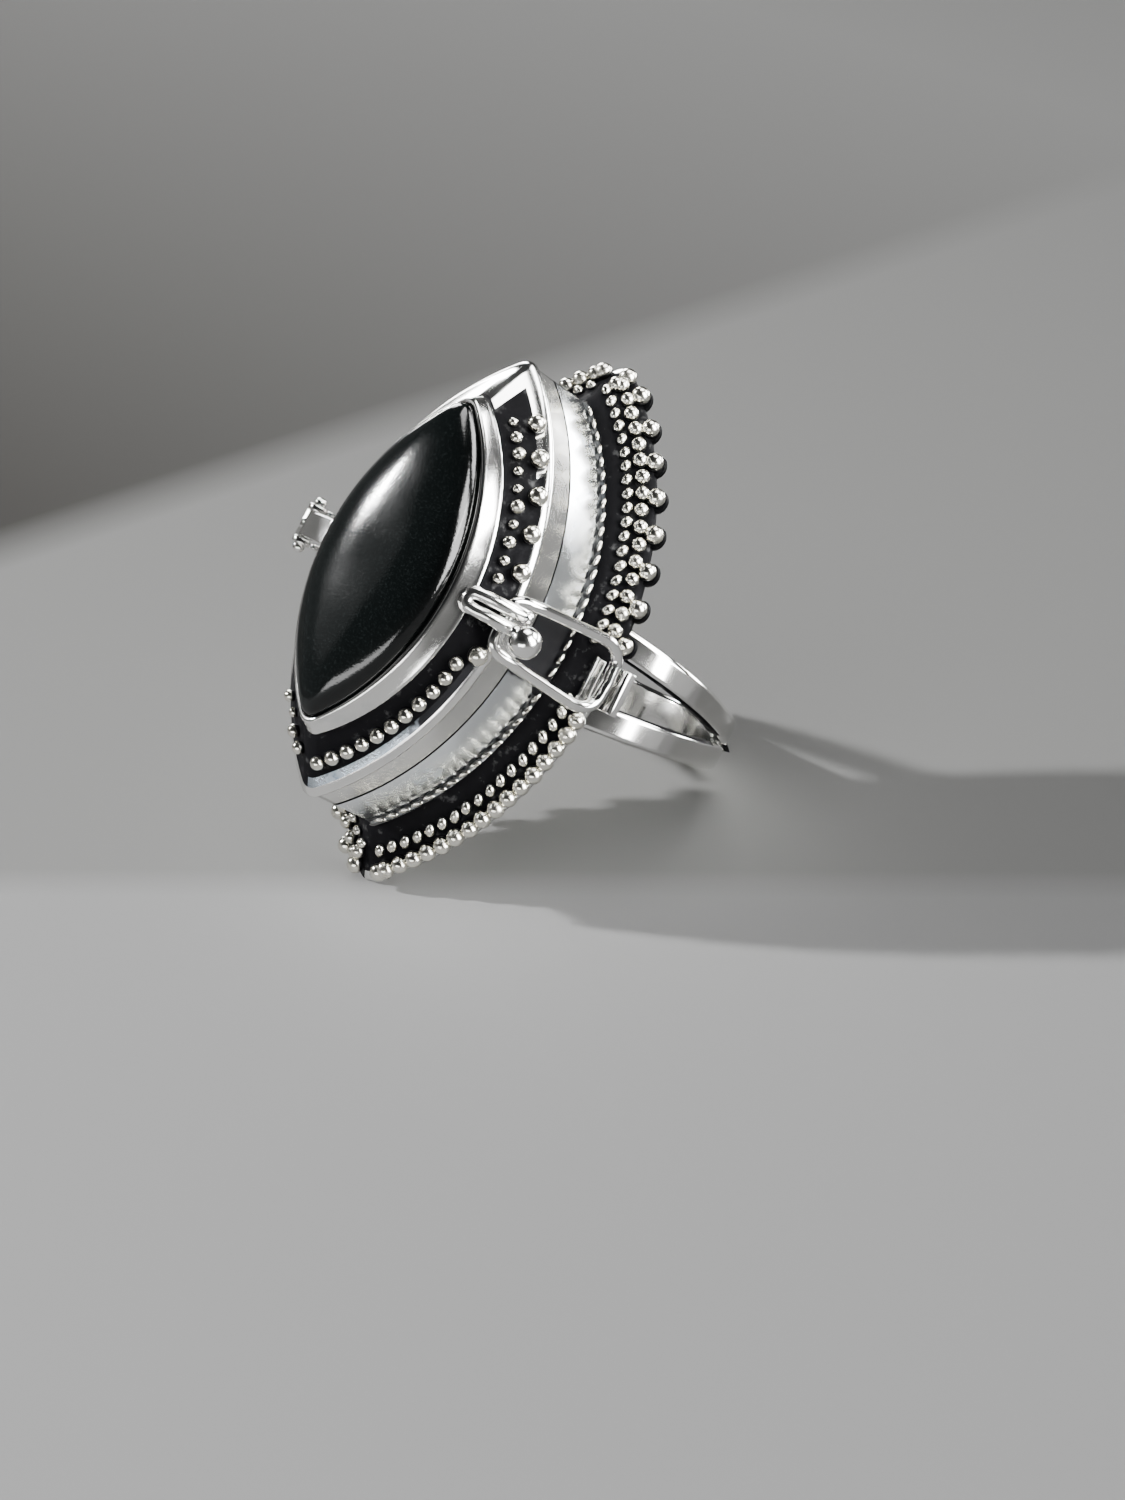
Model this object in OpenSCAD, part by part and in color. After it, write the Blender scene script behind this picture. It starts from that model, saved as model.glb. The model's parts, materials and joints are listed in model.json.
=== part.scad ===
// Poison ring: a long marquise locket head on a split shank, lying on its side.
// Drawn upright: X along the finger hole and the head, Z out of the face, clasp at -Y,
// with the middle of the finger hole at zero. Laid down, it stands over the origin.
// Millimetres.

/* [Finger hole and shank] */
// Radius of the finger hole, a US size 7
bore_r = 8.65; // [7.5:0.05:11]
// Thickness of the shank
shank_t = 1.45; // [1:0.05:2.5]
// Half width of the shank at the bottom
shank_low = 1.6; // [1:0.1:3]
// Half width of the shank under the head
shank_high = 3.5; // [2.5:0.1:5]
// Height at which the shank splits in two
split_z = -4.5; // [-7:0.5:2]
// How much the underside is flattened
flat_cut = 0.45; // [0.1:0.05:0.8]

/* [Base and box] */
// Half length of the base plate
base_a = 16.95; // [14.5:0.05:19]
// Half width of the base plate
base_b = 9.1; // [8.3:0.05:10]
// Underside of the base plate
base_z = 9.4; // [9.2:0.05:9.6]
// Half length of the box
box_a = 13.75; // [12:0.05:14]
// Half width of the box
box_b = 7.0; // [6.2:0.05:7.2]
// Thickness of the box wall
box_t = 0.8; // [0.5:0.05:1.2]
// Floor of the compartment
floor_z = 10.4; // [10.2:0.05:11]
// Rim of the box
box_top = 15.6; // [14.5:0.05:15.8]

/* [Lid and stone] */
// Gap between box and lid
lid_gap = 0.1; // [0.05:0.01:0.3]
// Top of the lid plate
plate_z = 20.2; // [19.8:0.05:20.6]
// Top of the bezel
bezel_top = 21.1; // [20.9:0.05:21.4]
// Half length of the stone
stone_a = 9.9; // [9:0.05:10.1]
// Half width of the stone
stone_b = 4.65; // [4:0.05:4.7]
// Top of the stone
stone_top = 22.85; // [22:0.05:24]

/* [Clasp and hinge] */
// Radius of the loop's wire
wire_r = 0.34; // [0.3:0.01:0.38]
// Radius of the push ball
ball_r = 0.95; // [0.7:0.05:1]
// Radius of the hinge knuckles
knuckle_r = 0.7; // [0.55:0.05:0.8]
// Radius of the hinge wire
pin_r = 0.3; // [0.2:0.01:0.32]

/* [Hidden] */
silver = [0.78, 0.78, 0.79];
onyx = [0.04, 0.05, 0.05];
n_side = 14;
n_tip = 5;
pin_gap = 0.03;
lift = 0.03;
shank_r = bore_r + shank_t;
flat_z = -(shank_r - flat_cut);
lean = atan2(base_z - flat_z, base_a - shank_low);
floor_level = flat_z * cos(lean) - shank_low * sin(lean);
// Middle of the lying ring's box, sideways and lengthways
rest_middle = [0.2, -7.26];

// Slope of the base border: outer edge first, then the foot of the box
skirt_out = [base_a, base_b, 9.8];
skirt_in = [13.95, 7.05, 11.7];
// Slope of the lid plate: rim first, then the foot of the bezel
slope_out = [13.92, 7.3, 17.95];
slope_in = [10.7, 5.9, plate_z];

hinge_y = 8.4;
hinge_z = 18.9;
knuckle_lid = 1.0;
knuckle_in = 1.08;
knuckle_out = 1.5;
pin_head_r = 0.42;
pin_head_x = 1.85;
pin_head_half = 0.36;

// The tips of the outlines are rounded by these
base_tip = 0.8;
foot_tip = 0.7;
wall_tip = 0.6;
lid_tip = 0.9;
// Plain strip at the foot of the box: half length, half width, low and high edge
strip_a = 14.1;
strip_b = 7.3;
strip_z = [11.76, 12.2];
// Lid wall and the hollow inside the lid
lid_a = 13.75;
lid_b = 7.15;
lid_shoulder = 17.6;
hollow_a = 12.95;
hollow_b = 6.35;
hollow_side_z = 17.4;
hollow_top = [10.0, 5.1, 19.5];
// Outside of the bezel from its foot to its top, as half length, half width, height
bezel_foot = [10.6, 5.85, 20.0];
bezel_mid = [10.5, 5.7, 20.35];
bezel_rim = [10.2, 5.05, bezel_top];
setting_gap = 0.05;

// The eye, the push ball and the loop sit a little below the middle, as in the photo.
// Pairs are Y and Z in the side view
eye_r = 0.36;
eye_x = 0.5;
eye_start = [-6.05, 20.46];
eye_end = [-8.9, 18.85];
ball_x = -0.5;
ball_yz = [-9.35, 18.7];
loop_x = -0.38;
loop_top = [-7.35, 18.75];
loop_bend = [-8.1, 17.5];
loop_low = [-9.72, 10.42];
loop_sides = 10;
catch_x = -0.65;
catch_half = 1.35;

// A marquise outline: a and b are half length and half width, d rounds the tips
function side_r(a, b) = (a * a + b * b) / (2 * b);

function marquise(a, b, d) =
  let (r = side_r(a - d, b - d), f = asin((a - d) / r))
  concat(
    [for (i = [0 : n_side - 1]) let (g = -f + 2 * f * i / n_side)
      [(r + d) * sin(g), b - d - r + (r + d) * cos(g)]],
    [for (i = [0 : n_tip - 1]) let (g = f + (180 - 2 * f) * i / n_tip)
      [a - d + d * sin(g), d * cos(g)]],
    [for (i = [0 : n_side - 1]) let (g = 180 - f + 2 * f * i / n_side)
      [(r + d) * sin(g), r - b + d + (r + d) * cos(g)]],
    [for (i = [0 : n_tip - 1]) let (g = 180 + f + (180 - 2 * f) * i / n_tip)
      [d - a + d * sin(g), d * cos(g)]]);

// A solid through marquise outlines, each [a, b, d, z], from the lowest up
module loft(rings) {
  n = 2 * (n_side + n_tip);
  m = len(rings);
  polyhedron(
    points = [for (q = rings) for (p = marquise(q[0], q[1], q[2])) [p[0], p[1], q[3]]],
    faces = concat(
      [[for (i = [n - 1 : -1 : 0]) i]],
      [[for (i = [0 : n - 1]) (m - 1) * n + i]],
      [for (k = [0 : m - 2]) for (i = [0 : n - 1])
        [k * n + i, (k + 1) * n + (i + 1) % n, (k + 1) * n + i]],
      [for (k = [0 : m - 2]) for (i = [0 : n - 1])
        [k * n + i, k * n + (i + 1) % n, (k + 1) * n + (i + 1) % n]]));
}

function between(p, q, t) = p + t * (q - p);

// Centre of a bead that sits on a slope: t from the inner to the outer outline,
// s along the edge from the middle, side -1 for the clasp side
function bead_at(inner, outer, t, s, side, r) =
  let (q = between(inner, outer, t),
    rr = side_r(q[0], q[1]),
    g = s / rr * 180 / PI,
    run = outer[1] - inner[1],
    drop = inner[2] - outer[2],
    len_rd = sqrt(run * run + drop * drop),
    up = (r + lift) / len_rd)
  [(rr + up * drop) * sin(g), side * ((rr + up * drop) * cos(g) - rr + q[1]), q[2] + up * run];

// A row on the clasp side and, turned half round, on the hinge side, which leaves out
// its first beads
module bead_row(inner, outer, t, first, pitch, count, r, far_from = 0) {
  for (turn = [0, 180])
    rotate([0, 0, turn])
      for (i = [0 : count - 1])
        if (turn == 0 || i >= far_from)
          let (s = first + sign(first) * pitch * i)
            translate(bead_at(inner, outer, t, s, -1, r))
              sphere(r = r, $fn = 24);
}

// The ring lies on its side: lower tip of the head and flat of the shank on the floor
module lying() {
  translate([-rest_middle[0], -rest_middle[1], -floor_level])
    rotate([lean, 0, 0])
      rotate([0, 0, 90])
        children();
}

module along_x(r, x0, x1) {
  translate([x0, 0, 0])
    rotate([0, 90, 0])
      cylinder(r = r, h = x1 - x0, $fn = 48);
}

// A side view drawn in Y and Z, made thick along X
module from_side(x0, x1, points) {
  translate([x0, 0, 0])
    rotate([90, 0, 90])
      linear_extrude(height = x1 - x0)
        polygon(points);
}

module shank() {
  wide_z = 8;
  top_z = 9.9;
  gap_half = 1.7;
  difference() {
    intersection() {
      along_x(shank_r, -shank_high - 1, shank_high + 1);
      rotate([90, 0, 0])
        linear_extrude(height = 2 * shank_r + 2, center = true)
          difference() {
            polygon([[-shank_low, flat_z], [shank_low, flat_z], [shank_low, split_z - 0.5],
              [shank_high, wide_z], [shank_high + 0.3, top_z],
              [-shank_high - 0.3, top_z], [-shank_high, wide_z], [-shank_low, split_z - 0.5]]);
            polygon([[0, split_z], [gap_half, wide_z], [gap_half + 0.15, top_z + 1],
              [-gap_half - 0.15, top_z + 1], [-gap_half, wide_z]]);
          }
    }
    along_x(bore_r, -shank_high - 2, shank_high + 2);
  }
}

module lobes() {
  lobe_r = 0.75;
  lobe_z = base_z + 0.05;
  q = between(skirt_in, skirt_out, base_large[0]);
  rr = side_r(q[0], q[1]);
  for (turn = [0, 180])
    rotate([0, 0, turn])
      for (i = [0 : base_large[3] - 1])
        let (g = (base_large[1] + base_large[2] * i) / rr * 180 / PI)
          translate([(rr + 0.2) * sin(g), -((rr + 0.2) * cos(g) - rr + q[1]), lobe_z])
            cylinder(r = lobe_r, h = 0.33, $fn = 24);
}

module catch_strip() {
  from_side(catch_x - catch_half, catch_x + catch_half,
    [[-8.45, 9.6], [-8.55, 10.9], [-8.85, 10.9], [-8.95, 9.98], [-10.05, 9.98], [-10.32, 9.8],
     [-10.5, 9.05], [-10.22, 8.98], [-10.08, 9.62], [-8.9, 9.62]]);
}

module hinge_strap(x0, x1) {
  difference() {
    union() {
      from_side(x0, x1,
        [[6.6, 12.8], [6.6, 14.3], [7.45, 14.9], [7.45, 18.7], [7.85, 19.3], [8.4, 19.2],
         [8.4, 18.3], [7.95, 17.9], [7.95, 14.0]]);
      translate([0, hinge_y, hinge_z])
        along_x(knuckle_r, x0, x1);
    }
    translate([0, hinge_y, hinge_z])
      along_x(pin_r + pin_gap, x0 - 1, x1 + 1);
  }
}

module ring_body() {
  color(silver)
    lying() {
      difference() {
        union() {
          loft([[base_a, base_b, base_tip, base_z], [base_a, base_b, base_tip, skirt_out[2]],
            [skirt_in[0], skirt_in[1], foot_tip, skirt_in[2]],
            [strip_a, strip_b, foot_tip, strip_z[0]], [strip_a, strip_b, foot_tip, strip_z[1]],
            [box_a, box_b, wall_tip, strip_z[1] + 0.06], [box_a, box_b, wall_tip, box_top]]);
          lobes();
          catch_strip();
        }
        loft([[box_a - box_t, box_b - box_t, wall_tip - 0.1, floor_z],
          [box_a - box_t, box_b - box_t, wall_tip - 0.1, box_top + 1]]);
      }
      shank();
      hinge_strap(knuckle_in, knuckle_out);
      hinge_strap(-knuckle_out, -knuckle_in);
    }
}

// Bead rows: how far down the slope, first place, pitch, number, radius, and how many
// are left out on the hinge side
base_small = [0.6, 2.45, 1.1, 14, 0.45, 0];
base_large = [0.95, 4.1, 2.2, 7, 0.56, 0];
base_single = [0.8, -3.15, 1.02, 15, 0.45, 0];
lid_large = [0.71, 2.75, 2.2, 5, 0.57, 5];
lid_small = [0.3, 2.65, 1.05, 10, 0.38, 8];
lid_single = [0.5, -2.9, 1.06, 11, 0.45, 11];

module base_beads() {
  color(silver)
    lying()
      for (q = [base_small, base_large, base_single])
        bead_row(skirt_in, skirt_out, q[0], q[1], q[2], q[3], q[4], q[5]);
}

module hinge_pin() {
  color(silver)
    lying()
      translate([0, hinge_y, hinge_z]) {
        along_x(pin_r, -pin_head_x, pin_head_x);
        for (x = [-pin_head_x, pin_head_x])
          along_x(pin_head_r, x - pin_head_half, x + pin_head_half);
      }
}

// A straight round wire between two points of the side view, at one x
module wire_yz(x, p, q, r) {
  run = q - p;
  translate([x, p[0], p[1]])
    rotate([atan2(run[1], run[0]) - 90, 0, 0])
      cylinder(r = r, h = norm(run), $fn = 24);
}

module lid_tab() {
  difference() {
    union() {
      from_side(-knuckle_lid, knuckle_lid,
        [[6.1, 18.9], [5.9, 20.35], [7.2, 20.1], [8.4, 19.6], [8.4, 19.1], [7.8, 18.9],
         [7.3, 18.6]]);
      translate([0, hinge_y, hinge_z])
        along_x(knuckle_r, -knuckle_lid, knuckle_lid);
    }
    translate([0, hinge_y, hinge_z])
      along_x(pin_r + pin_gap, -knuckle_lid - 1, knuckle_lid + 1);
  }
}

module lid() {
  low_z = box_top + lid_gap;
  color(silver)
    lying() {
      difference() {
        union() {
          loft([[lid_a, lid_b, base_tip, low_z], [lid_a, lid_b, base_tip, lid_shoulder],
            [slope_out[0], slope_out[1], lid_tip, lid_shoulder + 0.1],
            [slope_out[0], slope_out[1], lid_tip, slope_out[2]],
            [slope_in[0], slope_in[1], lid_tip, slope_in[2]]]);
          loft([for (q = [bezel_foot, bezel_mid, bezel_rim]) [q[0], q[1], lid_tip, q[2]]]);
        }
        loft([[hollow_a, hollow_b, wall_tip, low_z - 1],
          [hollow_a, hollow_b, wall_tip, hollow_side_z],
          [hollow_top[0], hollow_top[1], wall_tip, hollow_top[2]]]);
        loft([for (z = [plate_z + setting_gap, bezel_top + 1])
          [stone_a + setting_gap, stone_b + setting_gap, foot_tip, z]]);
      }
      lid_tab();
      for (x = [-eye_x, eye_x])
        wire_yz(x, eye_start, eye_end, eye_r);
      translate([ball_x, ball_yz[0], ball_yz[1]])
        sphere(r = ball_r, $fn = 48);
    }
}

module lid_beads() {
  color(silver)
    lying()
      for (q = [lid_large, lid_small, lid_single])
        bead_row(slope_in, slope_out, q[0], q[1], q[2], q[3], q[4], q[5]);
}

module stone() {
  edge_z = 21.0;
  steps = 10;
  // Over 2 gives the dome steep sides and a flatter top
  fullness = 2.6;
  rise = stone_top - edge_z;
  color(onyx)
    lying()
      loft(concat(
        [[stone_a, stone_b, foot_tip, plate_z + 2 * setting_gap]],
        [for (i = [0 : steps])
          let (g = 88 * i / steps, k = pow(cos(g), 2 / fullness), up = pow(sin(g), 2 / fullness))
          [stone_a * k, stone_b * k, (foot_tip + 0.5 * up) * k, edge_z + rise * up]]));
}

// The loop as [x, way down from the pivot]; first half, from the middle of the top
loop_half = [[0, 0], [0.6, 0], [1.0, 0.03], [1.3, 0.15], [1.5, 0.4], [1.62, 0.8],
  [1.68, 1.3], [1.75, 2.0], [1.85, 3.4], [1.96, 5.1], [2.06, 6.8], [2.06, 7.3], [1.98, 7.75],
  [1.75, 8.2], [1.4, 8.52], [0.95, 8.64], [0.5, 8.64]];
loop_knee = norm(loop_bend - loop_top);
loop_len = loop_knee + norm(loop_low - loop_bend);

function loop_yz(u) = u < loop_knee
  ? between(loop_top, loop_bend, u / loop_knee)
  : between(loop_bend, loop_low, (u - loop_knee) / (loop_len - loop_knee));

function unit(v) = v / norm(v);

module clasp_loop() {
  m = len(loop_half);
  flat = concat(loop_half, [[0, loop_half[m - 1][1]]],
    [for (i = [m - 1 : -1 : 1]) [-loop_half[i][0], loop_half[i][1]]]);
  n = len(flat);
  mid = [for (q = flat) let (p = loop_yz(q[1])) [loop_x + q[0], p[0], p[1]]];
  way = [for (i = [0 : n - 1]) unit(mid[(i + 1) % n] - mid[(i + n - 1) % n])];
  out = [for (i = [0 : n - 1])
    let (u = flat[i][1], p = loop_yz(max(0, u - 0.3)), q = loop_yz(min(loop_len, u + 0.3)),
      side = cross([1, 0, 0], [0, q[0] - p[0], q[1] - p[1]]))
    unit(side - (side * way[i]) * way[i])];
  color(silver)
    lying()
      polyhedron(
        points = [for (i = [0 : n - 1]) for (j = [0 : loop_sides - 1])
          let (g = 360 * j / loop_sides)
          mid[i] + wire_r * (cos(g) * out[i] + sin(g) * cross(way[i], out[i]))],
        faces = concat(
          [for (i = [0 : n - 1]) for (j = [0 : loop_sides - 1])
            [i * loop_sides + j, i * loop_sides + (j + 1) % loop_sides,
             ((i + 1) % n) * loop_sides + (j + 1) % loop_sides]],
          [for (i = [0 : n - 1]) for (j = [0 : loop_sides - 1])
            [i * loop_sides + j, ((i + 1) % n) * loop_sides + (j + 1) % loop_sides,
             ((i + 1) % n) * loop_sides + j]]));
}

ring_body();
base_beads();
hinge_pin();
lid();
lid_beads();
stone();
clasp_loop();
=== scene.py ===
# %% [markdown]
# # A silver poison ring with a black stone
#
# A poison ring is a ring with a small locket for a head. This one has a long pointed
# (marquise) box with a hinged lid, a black onyx on the lid and a wire loop that drops
# behind a catch. The ring lies on its side on pale paper.
#
# The frame gives the solids and the joints. The script dresses them: every piece is drawn
# upright in millimetres, as a silversmith would hold it, and then laid on its side.
# Finishes, paper and lights are in metres, as the frame is.

# %% Tools and frame
import json
import math
import random

import bmesh
import bpy
from mathutils import Matrix, Vector


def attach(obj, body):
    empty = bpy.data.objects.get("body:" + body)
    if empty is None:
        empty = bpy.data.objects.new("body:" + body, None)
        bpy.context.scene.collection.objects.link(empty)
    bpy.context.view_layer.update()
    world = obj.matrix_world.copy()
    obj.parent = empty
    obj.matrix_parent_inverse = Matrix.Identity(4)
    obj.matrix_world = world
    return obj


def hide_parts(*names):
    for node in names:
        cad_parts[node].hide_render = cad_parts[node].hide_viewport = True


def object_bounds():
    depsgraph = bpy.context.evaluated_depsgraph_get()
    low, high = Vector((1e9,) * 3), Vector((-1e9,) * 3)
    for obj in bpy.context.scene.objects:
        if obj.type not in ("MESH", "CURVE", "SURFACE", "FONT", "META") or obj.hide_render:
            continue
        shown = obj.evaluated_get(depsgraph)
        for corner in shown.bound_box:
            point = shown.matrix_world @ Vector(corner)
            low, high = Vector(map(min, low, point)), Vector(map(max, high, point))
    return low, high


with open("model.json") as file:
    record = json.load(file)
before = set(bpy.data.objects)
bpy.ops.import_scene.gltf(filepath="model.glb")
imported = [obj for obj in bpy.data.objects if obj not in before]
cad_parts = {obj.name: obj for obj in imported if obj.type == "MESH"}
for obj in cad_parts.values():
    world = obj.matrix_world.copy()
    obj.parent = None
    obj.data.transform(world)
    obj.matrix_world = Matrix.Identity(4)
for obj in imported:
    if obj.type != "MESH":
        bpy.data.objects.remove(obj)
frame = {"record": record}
cad_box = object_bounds()
print("CAD box", [[round(1000 * v, 2) for v in corner] for corner in cad_box])

# %% [markdown]
# The upright drawing has X along the finger hole and the long head, and Z out of the face.
# The middle of the finger hole is at zero, and the clasp is at -Y. The frame's lid hinge
# says where the drawing goes and how far it leans once the ring lies down, so one matrix
# turns a finished upright shape and brings it from millimetres to metres.

# %% Laying the ring down
lid_hinge = next(j for j in frame["record"]["behaviour"]["joints"] if j["name"] == "lid_hinge")
hinge_y, hinge_z = 8.4, 18.9
hole_axis = -Vector(lid_hinge["axis"])
lean = math.atan2(hole_axis.z, hole_axis.y)
TURN = Matrix.Rotation(lean, 4, "X") @ Matrix.Rotation(math.radians(90), 4, "Z")
moved = Vector(lid_hinge["pos_m"]) - 0.001 * (TURN @ Vector((0, hinge_y, hinge_z)))
LYING = Matrix.Translation(moved) @ TURN @ Matrix.Scale(0.001, 4)
print("lean", round(math.degrees(lean), 1), "degrees")

# %% [markdown]
# ## Outlines
#
# Nearly every part of the head follows the same outline: two long arcs that meet in a
# slightly rounded point. A loop of vertices on that outline is the start of each shape,
# and bridging one loop to the next raises the walls.

# %% The marquise outline
SIDE_STEPS = 40
TIP_STEPS = 8


def marquise(a, b, tip):
    """Points round a marquise: half length a, half width b, rounded by tip."""
    a0, b0 = a - tip, b - tip
    r = (a0 * a0 + b0 * b0) / (2 * b0)
    f = math.asin(a0 / r)
    points = []
    for turn in (0, math.pi):
        for i in range(SIDE_STEPS):
            g = -f + 2 * f * i / SIDE_STEPS
            x, y = (r + tip) * math.sin(g), b0 - r + (r + tip) * math.cos(g)
            points.append((x * math.cos(turn), y * math.cos(turn)))
        for i in range(TIP_STEPS):
            g = f + (math.pi - 2 * f) * i / TIP_STEPS
            x, y = a0 + tip * math.sin(g), tip * math.cos(g)
            points.append((x * math.cos(turn), y * math.cos(turn)))
    return points


def marquise_loop(bm, a, b, tip, z):
    """A closed loop of edges on that outline, at height z."""
    ring = [bm.verts.new((x, y, z)) for x, y in marquise(a, b, tip)]
    return [bm.edges.new((v, ring[i - 1])) for i, v in enumerate(ring)]


def raise_walls(sections, close=False, floor=False, roof=False):
    """Bridge marquise sections (half length, half width, tip, height, finish number)."""
    bm = bmesh.new()
    loops = [marquise_loop(bm, *section[:4]) for section in sections]
    pairs = list(zip(loops, loops[1:], sections[1:]))
    if close:
        pairs.append((loops[-1], loops[0], sections[0]))
    for low, high, section in pairs:
        walls = bmesh.ops.bridge_loops(bm, edges=low + high)["faces"]
        for face in walls:
            face.material_index = section[4]
    for wanted, loop in ((floor, loops[0]), (roof, loops[-1])):
        if wanted:
            bmesh.ops.contextual_create(bm, geom=loop)
    bmesh.ops.recalc_face_normals(bm, faces=bm.faces)
    return bm


# %% Softening and handing over
def soften(bm, width, segments=2, angle=25):
    """Round every edge that is sharper than angle degrees."""
    sharp = [e for e in bm.edges
             if len(e.link_faces) == 2 and e.calc_face_angle(0) > math.radians(angle)]
    bmesh.ops.bevel(bm, geom=sharp, offset=width, offset_type="OFFSET", affect="EDGES",
                    segments=segments, profile=0.5, material=-1, clamp_overlap=True)


def hand_over(name, bm, body, finishes):
    """Lay an upright shape down, make it an object and let it ride on a body."""
    volume = bm.calc_volume(signed=True)
    bm.transform(LYING)
    mesh = bpy.data.meshes.new(name)
    bm.to_mesh(mesh)
    bm.free()
    mesh.polygons.foreach_set("use_smooth", [True] * len(mesh.polygons))
    piece = bpy.data.objects.new(name, mesh)
    bpy.context.scene.collection.objects.link(piece)
    for finish in finishes:
        mesh.materials.append(finish)
    even = piece.modifiers.new("even shading", "WEIGHTED_NORMAL")
    even.keep_sharp = True
    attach(piece, body)
    print(name, len(mesh.polygons), "faces", round(volume, 1), "mm3")
    return piece


# %% [markdown]
# ## Finishes
#
# Sterling silver is bright and slightly warm where it is rubbed, grey and frosted where
# it has tarnished, and black in the hollows, which a jeweller darkens on purpose so the
# granules stand out. Three effects are used by more than one finish: fine scratches,
# cloudy tarnish and the black of the hollows. Each is a node group.

# %% Small helpers for shader nodes
def add_node(tree, kind, **values):
    """A node with some of its sockets or settings set."""
    made = tree.nodes.new(kind)
    for key, value in values.items():
        if key in made.inputs:
            made.inputs[key].default_value = value
        else:
            setattr(made, key, value)
    return made


def new_group(name, inputs, outputs):
    """A shader node group with named float inputs (name, value) and float outputs."""
    tree = bpy.data.node_groups.new(name, "ShaderNodeTree")
    for label, value in inputs:
        socket = tree.interface.new_socket(label, in_out="INPUT", socket_type="NodeSocketFloat")
        socket.default_value = value
    for label in outputs:
        tree.interface.new_socket(label, in_out="OUTPUT", socket_type="NodeSocketFloat")
    return tree, tree.nodes.new("NodeGroupInput"), tree.nodes.new("NodeGroupOutput")


def ramp(tree, source, low, high):
    """0 where source is at low, 1 at high."""
    step = add_node(tree, "ShaderNodeMapRange")
    step.inputs["From Min"].default_value = low
    step.inputs["From Max"].default_value = high
    tree.links.new(source, step.inputs["Value"])
    return step.outputs["Result"]


def math_node(tree, operation, first, second):
    """A sum, product or maximum of two numbers, each plain or from a node."""
    made = add_node(tree, "ShaderNodeMath", operation=operation)
    for socket, value in zip(made.inputs, (first, second)):
        if isinstance(value, (int, float)):
            socket.default_value = value
        else:
            tree.links.new(value, socket)
    return made.outputs[0]


def mix_colour(tree, factor, first, second):
    """The first colour where factor is 0, the second where it is 1."""
    made = add_node(tree, "ShaderNodeMix", data_type="RGBA")
    tree.links.new(factor, made.inputs["Factor"])
    for socket, value in ((made.inputs["A"], first), (made.inputs["B"], second)):
        if isinstance(value, tuple):
            socket.default_value = (*value, 1)
        else:
            tree.links.new(value, socket)
    return made.outputs["Result"]


# %% A new finish
def new_finish(name, values):
    """A material, its node tree and its Principled BSDF, with some of its values set."""
    made = bpy.data.materials.new(name)
    made.use_nodes = True
    skin = made.node_tree.nodes["Principled BSDF"]
    for key, value in values.items():
        skin.inputs[key].default_value = value
    return made, made.node_tree, skin


# %% Group: cloudy tarnish
tarnish_group, box_in, box_out = new_group(
    "cloudy tarnish", [("Scale", 260.0), ("Amount", 0.5)], ["Mask"])
where = add_node(tarnish_group, "ShaderNodeTexCoord")
clouds = add_node(tarnish_group, "ShaderNodeTexNoise", Detail=6.0, Roughness=0.62)
grains = add_node(tarnish_group, "ShaderNodeTexNoise", Scale=9000.0, Detail=2.0)
for noise in (clouds, grains):
    tarnish_group.links.new(where.outputs["Object"], noise.inputs["Vector"])
tarnish_group.links.new(box_in.outputs["Scale"], clouds.inputs["Scale"])
patches = ramp(tarnish_group, clouds.outputs["Fac"], 0.54, 0.7)
specks = ramp(tarnish_group, grains.outputs["Fac"], 0.35, 0.65)
speckle = 0.45
broken = math_node(tarnish_group, "MULTIPLY", specks, speckle)
broken = math_node(tarnish_group, "ADD", 1 - speckle, broken)
frosted = math_node(tarnish_group, "MULTIPLY", patches, broken)
frosted = math_node(tarnish_group, "MULTIPLY", frosted, box_in.outputs["Amount"])
tarnish_group.links.new(frosted, box_out.inputs["Mask"])

# %% Group: fine scratches
# Noise that is squeezed hard across one direction looks like scratches along it. Three
# directions are laid over each other.
scratch_group, box_in, box_out = new_group(
    "fine scratches", [("Scale", 900.0)], ["Height", "Wear"])
where = add_node(scratch_group, "ShaderNodeTexCoord")
heights = []
for turn, stretch in ((0.5, 16.0), (-0.9, 22.0), (1.4, 12.0)):
    grain_way = add_node(scratch_group, "ShaderNodeMapping")
    grain_way.inputs["Rotation"].default_value = (turn, turn * 0.7, turn * 1.3)
    grain_way.inputs["Scale"].default_value = (1.0, stretch, stretch)
    line = add_node(scratch_group, "ShaderNodeTexNoise", Detail=1.0)
    scratch_group.links.new(where.outputs["Object"], grain_way.inputs["Vector"])
    scratch_group.links.new(grain_way.outputs["Vector"], line.inputs["Vector"])
    scratch_group.links.new(box_in.outputs["Scale"], line.inputs["Scale"])
    heights.append(ramp(scratch_group, line.outputs["Fac"], 0.56, 0.7))
scratches = math_node(scratch_group, "MAXIMUM", heights[0],
                      math_node(scratch_group, "MAXIMUM", heights[1], heights[2]))
scratch_group.links.new(scratches, box_out.inputs["Height"])
rubbed = add_node(scratch_group, "ShaderNodeTexNoise", Scale=420.0, Detail=4.0)
scratch_group.links.new(where.outputs["Object"], rubbed.inputs["Vector"])
scratch_group.links.new(ramp(scratch_group, rubbed.outputs["Fac"], 0.3, 0.75),
                        box_out.inputs["Wear"])

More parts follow.
